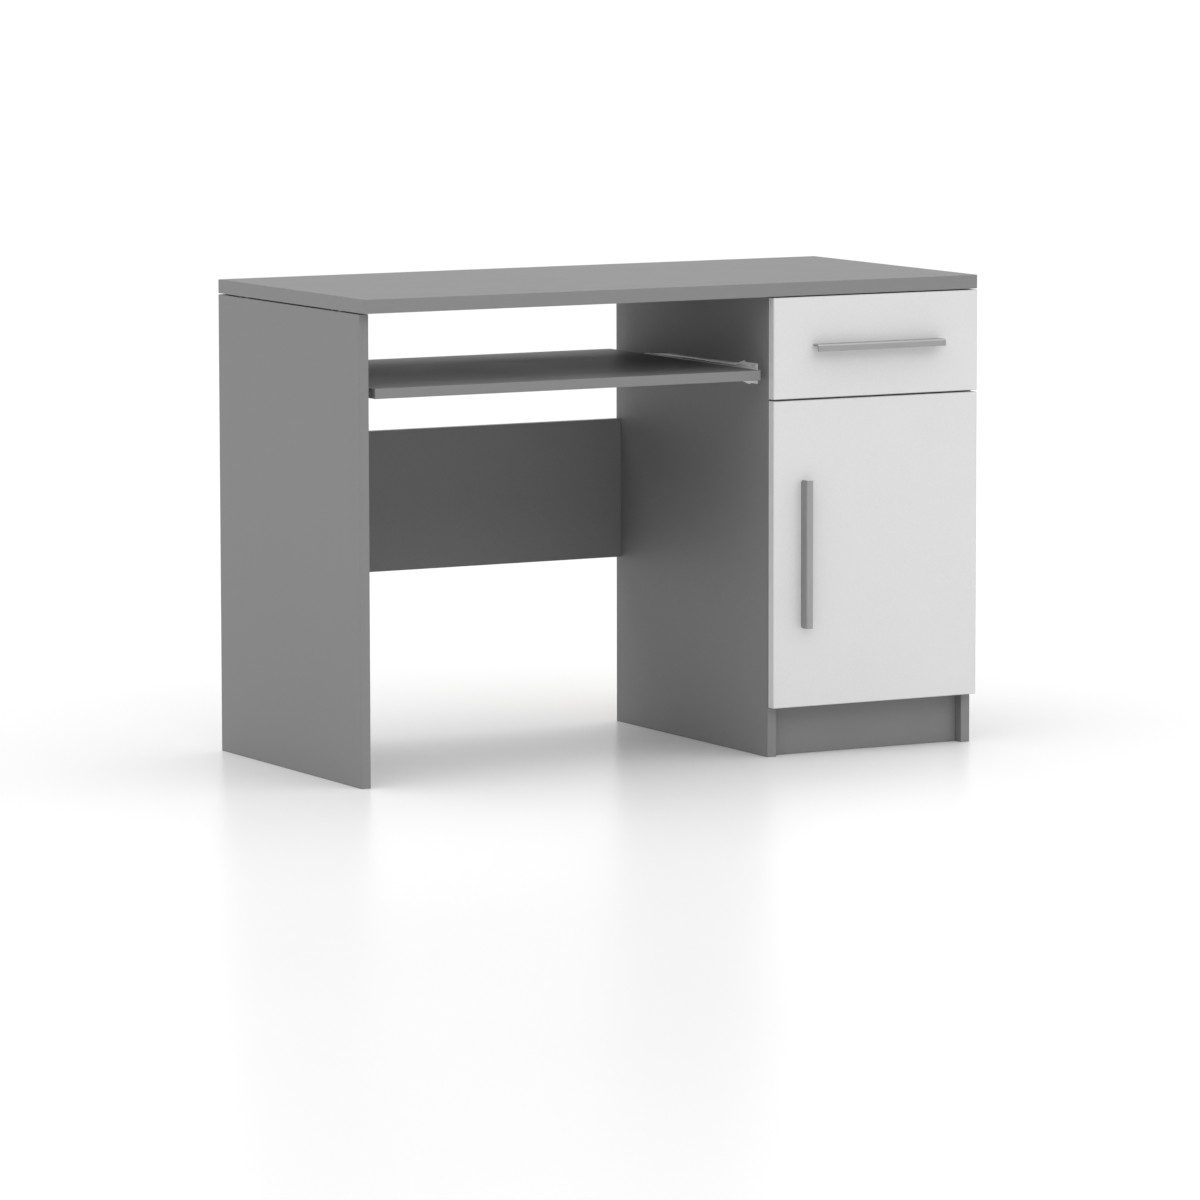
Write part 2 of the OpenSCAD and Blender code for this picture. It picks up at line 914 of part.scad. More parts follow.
module drawer_cam_bolts() {
    color(steel)
        desk_corner()
            cam_bolt_set(drawer_joints);
}

module drawer_box_screws() {
    color(zinc)
        desk_corner()
            box_screw_set(fastener_play);
}

// ---------- Soft stops behind the fronts ----------
bumper_d = 8;
bumper_free = 0.4;
bumper_h = front_gap - bumper_free;
bumper_inset = 30;

module bumpers(xs, zs) {
    color(soft_plastic)
        desk_corner()
            for (x = xs)
                for (z = zs)
                    along([x, board_t, z], [0, 1, 0])
                        cylinder(d = bumper_d, h = bumper_h);
}

module drawer_bumpers() {
    bumpers(
        [ped_x + board_t / 2, desk_w - board_t / 2],
        [drawer_front_z + bumper_inset, side_h - bumper_inset]
    );
}

module door_bumpers() {
    bumpers([ped_x + board_t / 2], [plinth_h + bumper_inset, door_top_z - bumper_inset]);
}

// ---------- Door and its two concealed hinges ----------
cup_d = 35;
cup_wall = 1;
cup_deep = 12.2;
cup_bore_deep = 12.5;
flange_t = 1.2;
flange_d = 38;
cup_screw_in = 9.5;
cup_screw_up = 24;
cup_screw_l = 11;
cup_screw_head_d = 6;
cup_screw_head_h = 0.5;
cup_screw_play = 0.4;
cup_ear_w = 12;
cup_ear_over = 7;
link_pin_d = 2.6;
link_pin_in = 8;
link_pin_short = 3.2;
link_in = 14;
link_u = 10;
link_step = [link_in - board_t - link_u, 5];
link_tail = 33;
link_t = 1.6;
link_w = 12;
link_eye_d = 6;
arm_l = 58;
arm_front_y = side_y + 4;
arm_u = 17;
arm_t = 1.2;
arm_w = 20;
hinge_plate_t = 2;
hinge_plate_y = side_y + 37;
hinge_plate_l = 22;
hinge_plate_w = 52;
plate_screw_pitch = 32;
plate_screw_d = 5;
plate_screw_in = 11;
plate_screw_head_d = 8;
plate_screw_head_h = 1.6;
plate_screw_play = 0.1;
rail_u = 6;
rail_w = 12;
rail_l = 34;
arm_play = 0.1;
setting_screw_d = 6.4;
setting_screw_bite = 0.2;
setting_screw_proud = 0.5;
setting_screw_gap = 0.05;
setting_screw_pitch = 14;
setting_screw_ys = [hinge_plate_y - side_y, hinge_plate_y - side_y + setting_screw_pitch];
hinge_zs = [plinth_h + hinge_inset, door_top_z - hinge_inset];

// Frame at the middle of each cup's mouth, +y towards the cupboard
module at_cups() {
    for (z = hinge_zs)
        translate([desk_w - cup_inset, board_t, z])
            children();
}

// Frame at each hinge on the inner face of the right side, +x into the cupboard, y = 0 at the side's front
module at_plates() {
    for (z = hinge_zs)
        translate([right_in_x, side_y, z])
            mirror([1, 0, 0])
                children();
}

module cup_screws(play) {
    for (s = [-1, 1])
        along([-cup_screw_in, flange_t, s * cup_screw_up], [0, -1, 0])
            cylinder(d = screw_d - 2 * play, h = cup_screw_l);
}

module door() {
    color(pale_front)
        difference() {
            desk_corner()
                difference() {
                    translate([ped_x, 0, plinth_h])
                        cube([pedestal_w, board_t, door_h]);
                    at_cups() {
                        along([0, -cup_bore_deep, 0], [0, 1, 0])
                            cylinder(d = cup_d, h = cup_bore_deep + cut);
                        cup_screws(0);
                    }
                }
            at_door_handle()
                handle_screw_bores();
        }
}

module hinge_cups() {
    color(steel)
        desk_corner()
            at_cups() {
                difference() {
                    union() {
                        along([0, -cup_deep, 0], [0, 1, 0])
                            cylinder(d = cup_d - 2 * fastener_play, h = cup_deep);
                        along([0, 0, 0], [0, 1, 0])
                            cylinder(d = flange_d, h = flange_t);
                        translate([-cup_screw_in - cup_ear_w / 2, 0, -cup_screw_up - cup_ear_over])
                            cube([cup_ear_w, flange_t, 2 * (cup_screw_up + cup_ear_over)]);
                    }
                    along([0, -cup_deep + cup_wall, 0], [0, 1, 0])
                        cylinder(d = cup_d - 2 * fastener_play - 2 * cup_wall, h = cup_deep + flange_t);
                    for (s = [-1, 1])
                        along([-cup_screw_in, -cut, s * cup_screw_up], [0, 1, 0])
                            cylinder(d = screw_d + cup_screw_play, h = flange_t + 2 * cut);
                }
                // Pin across the cup that carries the link's eye
                translate([cup_inset - link_in, -link_pin_in, link_pin_short - cup_d / 2])
                    cylinder(d = link_pin_d, h = cup_d - 2 * link_pin_short);
            }
}

module hinge_cup_screws() {
    color(zinc)
        desk_corner()
            at_cups() {
                cup_screws(fastener_play);
                for (s = [-1, 1])
                    along([-cup_screw_in, flange_t, s * cup_screw_up], [0, 1, 0])
                        cylinder(d = cup_screw_head_d, h = cup_screw_head_h);
            }
}

// A flat bar between two points of the hinge's plan, as thick as the link
module link_bar(a, b) {
    d = b - a;
    translate(a)
        rotate(atan2(d[1], d[0]))
            translate([0, -link_t / 2])
                square([norm(d), link_t]);
}

// Each link steps across from its eye to run link_u out from the side panel's inner face
module hinge_links() {
    tail = link_step + [0, link_tail];
    color(steel)
        desk_corner()
            at_cups()
                translate([cup_inset - link_in, -link_pin_in, -link_w / 2])
                    difference() {
                        linear_extrude(link_w) {
                            circle(d = link_eye_d);
                            link_bar([0, 0], link_step);
                            link_bar(link_step, tail);
                            translate(link_step)
                                circle(d = link_t);
                        }
                        translate([0, 0, -cut])
                            cylinder(d = link_pin_d + 2 * fastener_play, h = link_w + 2 * cut);
                    }
}

module plate_screws(play) {
    for (s = [-1, 1])
        along([hinge_plate_t, hinge_plate_y - side_y, s * plate_screw_pitch / 2], [-1, 0, 0])
            cylinder(d = plate_screw_d - 2 * play, h = hinge_plate_t + plate_screw_in);
}

module hinge_plate_bores() {
    at_plates()
        plate_screws(0);
}

module hinge_plates() {
    mid = hinge_plate_y - side_y;
    color(steel)
        desk_corner()
            at_plates() {
                difference() {
                    translate([0, mid - hinge_plate_l / 2, -hinge_plate_w / 2])
                        cube([hinge_plate_t, hinge_plate_l, hinge_plate_w]);
                    plate_screws(-plate_screw_play);
                }
                translate([hinge_plate_t - eps, mid - rail_l / 2, -rail_w / 2])
                    cube([rail_u - hinge_plate_t, rail_l, rail_w]);
            }
}

module hinge_plate_screws() {
    color(zinc)
        desk_corner()
            at_plates() {
                plate_screws(fastener_play);
                for (s = [-1, 1])
                    along([hinge_plate_t, hinge_plate_y - side_y, s * plate_screw_pitch / 2], [1, 0, 0])
                        cylinder(d = plate_screw_head_d, h = plate_screw_head_h);
            }
}

// The arm: a channel over the plate's rail, open towards the side panel, with two setting screws
module hinge_arms() {
    front = arm_front_y - side_y;
    color(steel)
        desk_corner()
            at_plates() {
                difference() {
                    translate([hinge_plate_t + arm_play, front, -arm_w / 2])
                        cube([arm_u - hinge_plate_t - arm_play, arm_l, arm_w]);
                    translate([0, front - cut, -arm_w / 2 + arm_t])
                        cube([arm_u - arm_t, arm_l + 2 * cut, arm_w - 2 * arm_t]);
                    for (y = setting_screw_ys)
                        along([arm_u - arm_t - cut, y, 0], [1, 0, 0])
                            cylinder(d = setting_screw_d - 2 * setting_screw_bite, h = arm_t + 2 * cut);
                }
                // Setting screws from the arm's back down to the rail
                for (y = setting_screw_ys)
                    along([rail_u + setting_screw_gap, y, 0], [1, 0, 0])
                        cylinder(d = setting_screw_d, h = arm_u - rail_u + setting_screw_proud);
            }
}

desktop();
left_side_panel();
pedestal_left_panel();
right_side_panel();
modesty_panel();
plinth();
cupboard_floor();
drawer_divider();
cupboard_back();
cupboard_shelf();
shelf_pins();
top_spacers();
cam_locks();
cam_bolts();
dowels();
tray_slide_outer_left();
tray_slide_outer_right();
tray_slide_cage_left();
tray_slide_cage_right();
tray_slide_balls();
tray_slide_inner_left();
tray_slide_inner_right();
tray_slide_screws();
tray_edge_screws();
keyboard_tray();
drawer_slide_outer_left();
drawer_slide_outer_right();
drawer_slide_cage_left();
drawer_slide_cage_right();
drawer_slide_balls();
drawer_slide_inner_left();
drawer_slide_inner_right();
drawer_slide_screws();
drawer_runner_screws();
drawer_front();
drawer_side_left();
drawer_side_right();
drawer_back();
drawer_bottom();
drawer_cam_locks();
drawer_cam_bolts();
drawer_box_screws();
drawer_handle();
drawer_handle_screws();
drawer_bumpers();
door();
door_handle();
door_handle_screws();
door_bumpers();
hinge_cups();
hinge_cup_screws();
hinge_arms();
hinge_plates();
hinge_plate_screws();
hinge_links();
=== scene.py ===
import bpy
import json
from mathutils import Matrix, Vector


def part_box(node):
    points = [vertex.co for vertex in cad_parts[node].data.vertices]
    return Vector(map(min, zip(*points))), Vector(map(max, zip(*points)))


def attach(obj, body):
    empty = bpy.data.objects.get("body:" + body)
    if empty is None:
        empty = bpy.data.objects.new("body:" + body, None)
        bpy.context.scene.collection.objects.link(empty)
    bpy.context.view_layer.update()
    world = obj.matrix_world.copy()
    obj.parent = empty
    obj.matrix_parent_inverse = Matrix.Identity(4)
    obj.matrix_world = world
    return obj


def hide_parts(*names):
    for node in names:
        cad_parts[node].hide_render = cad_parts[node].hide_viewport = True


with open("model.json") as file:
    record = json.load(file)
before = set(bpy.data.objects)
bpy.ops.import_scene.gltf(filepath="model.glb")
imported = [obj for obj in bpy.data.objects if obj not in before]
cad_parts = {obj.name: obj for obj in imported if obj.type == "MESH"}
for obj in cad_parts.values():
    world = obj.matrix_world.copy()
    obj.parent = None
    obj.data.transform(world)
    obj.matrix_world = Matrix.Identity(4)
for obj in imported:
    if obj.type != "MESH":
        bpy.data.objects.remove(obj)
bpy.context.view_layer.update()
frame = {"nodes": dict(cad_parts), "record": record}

import json
import math

import bmesh
import bpy
import numpy as np
from mathutils import Matrix, Vector

# Computer desk with a keyboard tray: melamine-faced boards, pale fronts, ball slides, concealed hinges.
# Metres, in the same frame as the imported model.

MM = 0.001
X, Y, Z = 0, 1, 2
RECORD = frame["record"]
BODY_OF = {node: body for body, nodes in RECORD["behaviour"]["bodies"].items() for node in nodes}
SLOT_OF = {part["node"]: part["material_slot"] for part in RECORD["subparts"]}


# ---------- Small helpers ----------
def linear(hex_colour):
    """An sRGB hex colour as linear red, green, blue and alpha."""
    channels = [int(hex_colour[i:i + 2], 16) / 255 for i in (1, 3, 5)]
    return [c / 12.92 if c <= 0.04045 else ((c + 0.055) / 1.055) ** 2.4 for c in channels] + [1.0]


def add(material, kind, inputs=None, links=None, stops=(), **settings):
    """Adds a node. inputs are values for its sockets, links are sockets of other nodes, stops are the
    (place, hex colour) pairs of a colour ramp, and settings are the node's own properties. Maths and mixing
    nodes have several sockets of one name, so theirs go by number."""
    node = material.node_tree.nodes.new(kind)
    for key, value in settings.items():
        setattr(node, key, value)
    for key, value in (inputs or {}).items():
        node.inputs[key].default_value = value
    for key, socket in (links or {}).items():
        material.node_tree.links.new(socket, node.inputs[key])
    if stops:
        elements = node.color_ramp.elements
        while len(elements) < len(stops):
            elements.new(0.5)
        for element, (place, colour) in zip(elements, stops):
            element.position = place
            element.color = linear(colour)
    return node


# The colour sockets of a Mix node, by number
MIX_FACTOR, MIX_A, MIX_B = 0, 6, 7
MIX_RESULT = 2


def new_material(name):
    """An empty node material, and its place on the object as a socket."""
    material = bpy.data.materials.new(name)
    material.use_nodes = True
    material.node_tree.nodes.clear()
    return material, add(material, "ShaderNodeTexCoord").outputs["Object"]


def finish_material(material, shader):
    """Joins the last shader to the output."""
    add(material, "ShaderNodeOutputMaterial", links={"Surface": shader.outputs[0]})
    return material


def per_metre(size_mm):
    """A noise scale whose blobs are about this many millimetres across."""
    return 1000 / size_mm


def middle_half_thin(low, high):
    """The middle of a board, its half sizes, and the axis along which it is thinnest."""
    middle = [(a + b) / 2 for a, b in zip(low, high)]
    half = [(b - a) / 2 for a, b in zip(low, high)]
    return middle, half, half.index(min(half))


# ---------- Board finishes ----------
BAND_T = 0.8 * MM
# The glue line is at full strength up to the first distance from its middle, and gone at the second
GLUE_FULL, GLUE_GONE = 0.05 * MM, 0.22 * MM
GLUE_TONE = "#3a3a3a"
GLUE_SHARE = 0.5
# Fine pearl texture, drawn at 0.9 mm, about three times the real grain, so that it shows
PEARL_MM = 0.9
SPECKLE_MM = 2.2
CLOUD_MM = 160
SHEEN = (0.49, 0.54)
GREY = {"face": ("#777777", "#7c7c7c"), "band": "#7c7c7c", "bloom": "#7e7e7e"}
PALE = {"face": ("#cecece", "#d2d2d2"), "band": "#d0d0d0", "bloom": "#d3d3d3"}


def melamine(name, low, high, face, band, bloom):
    """Melamine-faced particle board, pressed against a fine pearl plate: a matt colour with a faint soft
    sheen. The edges carry a plastic band in a matching tone, and its glue line shows as a hair line by each
    arris."""
    material, place = new_material(name)
    middle, half, thin = middle_half_thin(low, high)

    # How far a point lies inside the board's nearest edge: half size - |place - middle|, the least of two
    from_middle = add(
        material, "ShaderNodeMapping", {"Location": [-c for c in middle]}, {"Vector": place}
    ).outputs[0]
    away = add(
        material, "ShaderNodeVectorMath", links={0: from_middle}, operation="ABSOLUTE"
    ).outputs[0]
    inside = add(
        material, "ShaderNodeVectorMath", {0: half}, {1: away}, operation="SUBTRACT"
    ).outputs[0]
    gaps = add(material, "ShaderNodeSeparateXYZ", links={0: inside})
    first, second = [gaps.outputs[axis] for axis in range(3) if axis != thin]
    to_edge = add(
        material, "ShaderNodeMath", links={0: first, 1: second}, operation="MINIMUM"
    ).outputs[0]

    # The band, and the dark hair line where it meets the face
    on_band = add(
        material, "ShaderNodeMath", {1: BAND_T}, {0: to_edge}, operation="LESS_THAN"
    ).outputs[0]
    past_band = add(
        material, "ShaderNodeMath", {1: BAND_T}, {0: to_edge}, operation="SUBTRACT"
    ).outputs[0]
    off_glue = add(material, "ShaderNodeMath", links={0: past_band}, operation="ABSOLUTE").outputs[0]
    glue = add(
        material, "ShaderNodeMapRange",
        {"From Min": GLUE_FULL, "From Max": GLUE_GONE, "To Min": 1, "To Max": 0},
        {"Value": off_glue}, interpolation_type="SMOOTHSTEP",
    ).outputs[0]
    glue_share = add(
        material, "ShaderNodeMath", {1: GLUE_SHARE}, {0: glue}, operation="MULTIPLY"
    ).outputs[0]

    # The printed tone with its fine speckle, and a wide, very faint bloom
    pearl = add(
        material, "ShaderNodeTexNoise",
        {"Scale": per_metre(PEARL_MM), "Detail": 3.0, "Roughness": 0.6}, {"Vector": place},
    ).outputs[0]
    speckle = add(
        material, "ShaderNodeTexNoise", {"Scale": per_metre(SPECKLE_MM), "Detail": 4.0}, {"Vector": place}
    ).outputs[0]
    cloud = add(
        material, "ShaderNodeTexNoise", {"Scale": per_metre(CLOUD_MM), "Detail": 2.0}, {"Vector": place}
    ).outputs[0]
    tone = add(
        material, "ShaderNodeValToRGB", links={"Fac": speckle}, stops=[(0.35, face[0]), (0.65, face[1])]
    ).outputs[0]
    bloom_share = add(
        material, "ShaderNodeMapRange",
        {"From Min": 0.35, "From Max": 0.7, "To Min": 0.0, "To Max": 0.5}, {"Value": cloud},
    ).outputs[0]
    bloomed = add(
        material, "ShaderNodeMix", {MIX_B: linear(bloom)}, {MIX_FACTOR: bloom_share, MIX_A: tone},
        data_type="RGBA",
    ).outputs[MIX_RESULT]
    banded = add(
        material, "ShaderNodeMix", {MIX_B: linear(band)}, {MIX_FACTOR: on_band, MIX_A: bloomed},
        data_type="RGBA",
    ).outputs[MIX_RESULT]
    glued = add(
        material, "ShaderNodeMix", {MIX_B: linear(GLUE_TONE)}, {MIX_FACTOR: glue_share, MIX_A: banded},
        data_type="RGBA",
    ).outputs[MIX_RESULT]

    rough = add(
        material, "ShaderNodeMapRange",
        {"From Min": 0.3, "From Max": 0.7, "To Min": SHEEN[0], "To Max": SHEEN[1]}, {"Value": cloud},
    ).outputs[0]
    bump = add(
        material, "ShaderNodeBump", {"Strength": 0.16, "Distance": 0.06 * MM}, {"Height": pearl}
    ).outputs[0]
    shader = add(
        material, "ShaderNodeBsdfPrincipled", {"IOR": 1.5, "Specular IOR Level": 0.36},
        {"Base Color": glued, "Roughness": rough, "Normal": bump},
    )
    return finish_material(material, shader)


def chipboard(name):
    """Raw particle board, seen inside the bores: pressed flakes of light and dark wood, dull."""
    material, place = new_material(name)
    flakes = add(
        material, "ShaderNodeTexVoronoi", {"Scale": per_metre(1.8), "Randomness": 1.0}, {"Vector": place}
    ).outputs["Color"]
    grain = add(
        material, "ShaderNodeTexNoise", {"Scale": per_metre(0.5), "Detail": 4.0}, {"Vector": place}
    ).outputs[0]
    tint = add(material, "ShaderNodeSeparateColor", links={0: flakes}).outputs[0]
    wood = add(
        material, "ShaderNodeValToRGB", links={"Fac": tint},
        stops=[(0.0, "#7c5f3c"), (0.45, "#b08d5e"), (1.0, "#d6bd91")],
    ).outputs[0]
    bump = add(
        material, "ShaderNodeBump", {"Strength": 0.7, "Distance": 0.3 * MM}, {"Height": grain}
    ).outputs[0]
    shader = add(
        material, "ShaderNodeBsdfPrincipled", {"Roughness": 0.92, "Specular IOR Level": 0.2},
        {"Base Color": wood, "Normal": bump},
    )
    return finish_material(material, shader)


SCREEN_PITCH_MM = 1.6


def hardboard(name, low, high, screen_side):
    """Wet-formed hardboard: a smooth, slightly waxy tan face with dark fibres, and a back that carries the
    print of the wire screen it was pressed on, sin(2 pi u / pitch) sin(2 pi v / pitch). screen_side is -1
    or 1 along the board's thin direction."""
    material, place = new_material(name)
    middle, _, thin = middle_half_thin(low, high)
    from_middle = add(
        material, "ShaderNodeMapping", {"Location": [-c for c in middle]}, {"Vector": place}
    ).outputs[0]
    parts = add(material, "ShaderNodeSeparateXYZ", links={0: from_middle})
    on_screen = add(
        material, "ShaderNodeMath", {1: 0.0}, {0: parts.outputs[thin]},
        operation="GREATER_THAN" if screen_side > 0 else "LESS_THAN",
    ).outputs[0]
    waves = []
    for axis in range(3):
        if axis != thin:
            turn = add(
                material, "ShaderNodeMath", {1: 2 * math.pi * per_metre(SCREEN_PITCH_MM)},
                {0: parts.outputs[axis]}, operation="MULTIPLY",
            ).outputs[0]
            waves.append(add(material, "ShaderNodeMath", links={0: turn}, operation="SINE").outputs[0])
    weave = add(
        material, "ShaderNodeMath", links={0: waves[0], 1: waves[1]}, operation="MULTIPLY"
    ).outputs[0]
    printed = add(
        material, "ShaderNodeMath", links={0: weave, 1: on_screen}, operation="MULTIPLY"
    ).outputs[0]
    fibre = add(
        material, "ShaderNodeTexNoise", {"Scale": per_metre(3.0), "Detail": 8.0, "Distortion": 1.6},
        {"Vector": place},
    ).outputs[0]
    tan = add(
        material, "ShaderNodeValToRGB", links={"Fac": fibre},
        stops=[(0.3, "#8d7353"), (0.5, "#a98d69"), (0.7, "#bca27e")],
    ).outputs[0]
    height = add(material, "ShaderNodeMath", links={0: fibre, 1: printed}, operation="ADD").outputs[0]
    bump = add(
        material, "ShaderNodeBump", {"Strength": 0.35, "Distance": 0.15 * MM}, {"Height": height}
    ).outputs[0]
    shader = add(
        material, "ShaderNodeBsdfPrincipled", {"Roughness": 0.62, "Specular IOR Level": 0.35},
        {"Base Color": tan, "Normal": bump},
    )
    return finish_material(material, shader)


def beech(name):
    """Turned beech dowel: pale pinkish wood with short dark flecks, unfinished and dull."""
    material, place = new_material(name)
    flecks = add(
        material, "ShaderNodeTexNoise", {"Scale": per_metre(0.8), "Detail": 5.0, "Distortion": 0.4},
        {"Vector": place},
    ).outputs[0]
    tone = add(
        material, "ShaderNodeValToRGB", links={"Fac": flecks},
        stops=[(0.35, "#a97c52"), (0.5, "#cfa67a"), (0.75, "#dfbf98")],
    ).outputs[0]
    bump = add(
        material, "ShaderNodeBump", {"Strength": 0.4, "Distance": 0.1 * MM}, {"Height": flecks}
    ).outputs[0]
    shader = add(
        material, "ShaderNodeBsdfPrincipled", {"Roughness": 0.75, "Specular IOR Level": 0.3},
        {"Base Color": tone, "Normal": bump},
    )
    return finish_material(material, shader)


# ---------- Metal and plastic finishes ----------
# Places along the way that metal was drawn are scaled by this, which pulls its grain out into long lines
LINE_SQUEEZE = 0.012


def drawn_metal(name, colour, stain, rough, along, line_mm, cloud_mm, strength, metallic=1.0):
    """Rolled or extruded metal: fine straight lines along the axis `along`, under a faint cloud in gloss. A
    thick clear coat on a plating scatters light like paint, which a lower `metallic` gives."""
    material, place = new_material(name)
    squeeze = [1.0, 1.0, 1.0]
    squeeze[along] = LINE_SQUEEZE
    drawn = add(material, "ShaderNodeMapping", {"Scale": squeeze}, {"Vector": place}).outputs[0]
    lines = add(
        material, "ShaderNodeTexNoise", {"Scale": per_metre(line_mm), "Detail": 3.0, "Roughness": 0.65},
        {"Vector": drawn},
    ).outputs[0]
    cloud = add(
        material, "ShaderNodeTexNoise", {"Scale": per_metre(cloud_mm), "Detail": 4.0}, {"Vector": place}
    ).outputs[0]
    tone = add(
        material, "ShaderNodeValToRGB", links={"Fac": cloud}, stops=[(0.3, stain), (0.6, colour)]
    ).outputs[0]
    streak = add(
        material, "ShaderNodeMath", {1: 0.5}, {0: lines, 2: cloud}, operation="MULTIPLY_ADD"
    ).outputs[0]
    gloss = add(
        material, "ShaderNodeMapRange",
        {"From Min": 0.5, "From Max": 1.0, "To Min": rough[0], "To Max": rough[1]}, {"Value": streak},
    ).outputs[0]
    bump = add(
        material, "ShaderNodeBump", {"Strength": strength, "Distance": 0.03 * MM}, {"Height": lines}
    ).outputs[0]
    shader = add(
        material, "ShaderNodeBsdfPrincipled", {"Metallic": metallic},
        {"Base Color": tone, "Roughness": gloss, "Normal": bump},
    )
    return finish_material(material, shader)


def plated_metal(name, colour, stain, rough, grain_mm, strength):
    """Barrel-plated or cast small metal: an even skin with a fine grain and slightly uneven gloss."""
    material, place = new_material(name)
    grain = add(
        material, "ShaderNodeTexNoise", {"Scale": per_metre(grain_mm), "Detail": 3.0}, {"Vector": place}
    ).outputs[0]
    cloud = add(
        material, "ShaderNodeTexNoise", {"Scale": per_metre(5.0), "Detail": 3.0}, {"Vector": place}
    ).outputs[0]
    tone = add(
        material, "ShaderNodeValToRGB", links={"Fac": cloud}, stops=[(0.3, stain), (0.65, colour)]
    ).outputs[0]
    gloss = add(
        material, "ShaderNodeMapRange",
        {"From Min": 0.3, "From Max": 0.7, "To Min": rough[0], "To Max": rough[1]}, {"Value": cloud},
    ).outputs[0]
    bump = add(
        material, "ShaderNodeBump", {"Strength": strength, "Distance": 0.04 * MM}, {"Height": grain}
    ).outputs[0]
    shader = add(
        material, "ShaderNodeBsdfPrincipled", {"Metallic": 1.0},
        {"Base Color": tone, "Roughness": gloss, "Normal": bump},
    )
    return finish_material(material, shader)


def moulded_plastic(name, colour, shade, rough, soft):
    """Injection-moulded plastic with a fine spark-eroded texture; soft is how much light passes in."""
    material, place = new_material(name)
    texture = add(
        material, "ShaderNodeTexNoise", {"Scale": per_metre(0.35), "Detail": 2.0}, {"Vector": place}
    ).outputs[0]
    tone = add(
        material, "ShaderNodeValToRGB", links={"Fac": texture}, stops=[(0.3, shade), (0.7, colour)]
    ).outputs[0]
    bump = add(
        material, "ShaderNodeBump", {"Strength": 0.25, "Distance": 0.03 * MM}, {"Height": texture}
    ).outputs[0]
    shader = add(
        material, "ShaderNodeBsdfPrincipled",
        {"Roughness": rough, "Subsurface Weight": soft, "Subsurface Scale": 1 * MM, "IOR": 1.5},
        {"Base Color": tone, "Normal": bump},
    )
    return finish_material(material, shader)


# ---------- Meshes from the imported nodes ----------
# Points closer than WELD are one point, and a point within ON_BOX of a box's side lies on it. Faces that
# meet at less than FLAT_ANGLE are one face, and from ROUND_FROM to ROUND_TO they shade as one curve.
WELD = 0.002 * MM
ON_BOX = 0.02 * MM
FLAT_ANGLE = math.radians(0.6)
ROUND_FROM, ROUND_TO = math.radians(1), math.radians(30)
ARRIS, ARRIS_SEGMENTS = 0.7 * MM, 3
EASE_SEGMENTS = 2


def merged(node):
    """A bmesh copy of a node with its loose triangles merged and flat faces joined up."""
    work = bmesh.new()
    work.from_mesh(frame["nodes"][node].data)
    bmesh.ops.remove_doubles(work, verts=work.verts, dist=WELD)
    bmesh.ops.dissolve_limit(
        work, angle_limit=FLAT_ANGLE, use_dissolve_boundaries=False,
        verts=work.verts, edges=work.edges, delimit=set(),
    )
    return work


def shown(mesh):
    """A shown object at the origin for a finished mesh, with the mesh's name."""
    piece = bpy.data.objects.new(mesh.name, mesh)
    bpy.context.collection.objects.link(piece)
    return piece


def object_from(work, name, materials):
    """Turns a bmesh into a shown object, keeping each face's own smooth or flat shading."""
    mesh = bpy.data.meshes.new(name)
    work.to_mesh(mesh)
    work.free()
    for material in materials:
        mesh.materials.append(material)
    return shown(mesh)


def stand_in(piece, node):
    """The piece is shown in place of a node and rides on its body; the node is hidden."""
    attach(piece, BODY_OF[node])
    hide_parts(node)
    return piece


def repaint(node, material):
    """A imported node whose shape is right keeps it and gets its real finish."""
    mesh = frame["nodes"][node].data
    mesh.materials.clear()
    mesh.materials.append(material)


def smooth_round_faces(work):
    """Faces that bend gently into a neighbour, such as a bore's wall, shade smooth; others stay flat."""
    for edge in work.edges:
        if len(edge.link_faces) == 2:
            turn = edge.calc_face_angle(0.0)
            if ROUND_FROM < turn < ROUND_TO:
                for polygon in edge.link_faces:
                    polygon.smooth = True
            edge.smooth = turn < ROUND_TO


def round_off(work, edges, radius, segments):
    """Rounds the given edges; the new strips shade smooth between the flat faces beside them."""
    made = bmesh.ops.bevel(
        work, geom=edges, offset=radius, offset_type="OFFSET", segments=segments, profile=0.5,
        affect="EDGES", clamp_overlap=True, material=-1,
    )
    for polygon in made["faces"]:
        polygon.smooth = True
        for edge in polygon.edges:
            edge.smooth = True


def board(node, name, face, core):
    """A faced board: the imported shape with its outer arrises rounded, and raw core inside its bores."""
    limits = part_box(node)
    work = merged(node)

    def sides(point):
        """The sides of the board's box that a point lies on, as (axis, end) pairs."""
        return {
            (axis, end) for axis in range(3) for end in range(2)
            if abs(point[axis] - limits[end][axis]) < ON_BOX
        }

    for polygon in work.faces:
        polygon.material_index = 0 if sides(polygon.calc_center_median()) else 1
    smooth_round_faces(work)
    arrises = [
        edge for edge in work.edges
        if len(sides(edge.verts[0].co) & sides(edge.verts[1].co)) >= 2
    ]
    round_off(work, arrises, ARRIS, ARRIS_SEGMENTS)
    return stand_in(object_from(work, name, [face, core]), node)


def eased(node, name, material, width):
    """A metal or plastic part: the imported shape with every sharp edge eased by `width`."""
    work = merged(node)
    smooth_round_faces(work)
    sharp = [edge for edge in work.edges if not edge.smooth and len(edge.link_faces) == 2]
    round_off(work, sharp, width, EASE_SEGMENTS)
    return stand_in(object_from(work, name, [material]), node)


def solids_of(node):
    """The separate solids of a node, each as an array of its points."""
    work = merged(node)
    left, found = set(work.verts), []
    while left:
        reached, front = set(), [left.pop()]
        while front:
            vertex = front.pop()
            reached.add(vertex)
            for edge in vertex.link_edges:
                other = edge.other_vert(vertex)
                if other in left:
                    left.discard(other)
                    front.append(other)
        found.append(np.array([vertex.co[:] for vertex in reached]))
    work.free()
    return sorted(found, key=lambda points: tuple(np.round(points.mean(0), 4)))


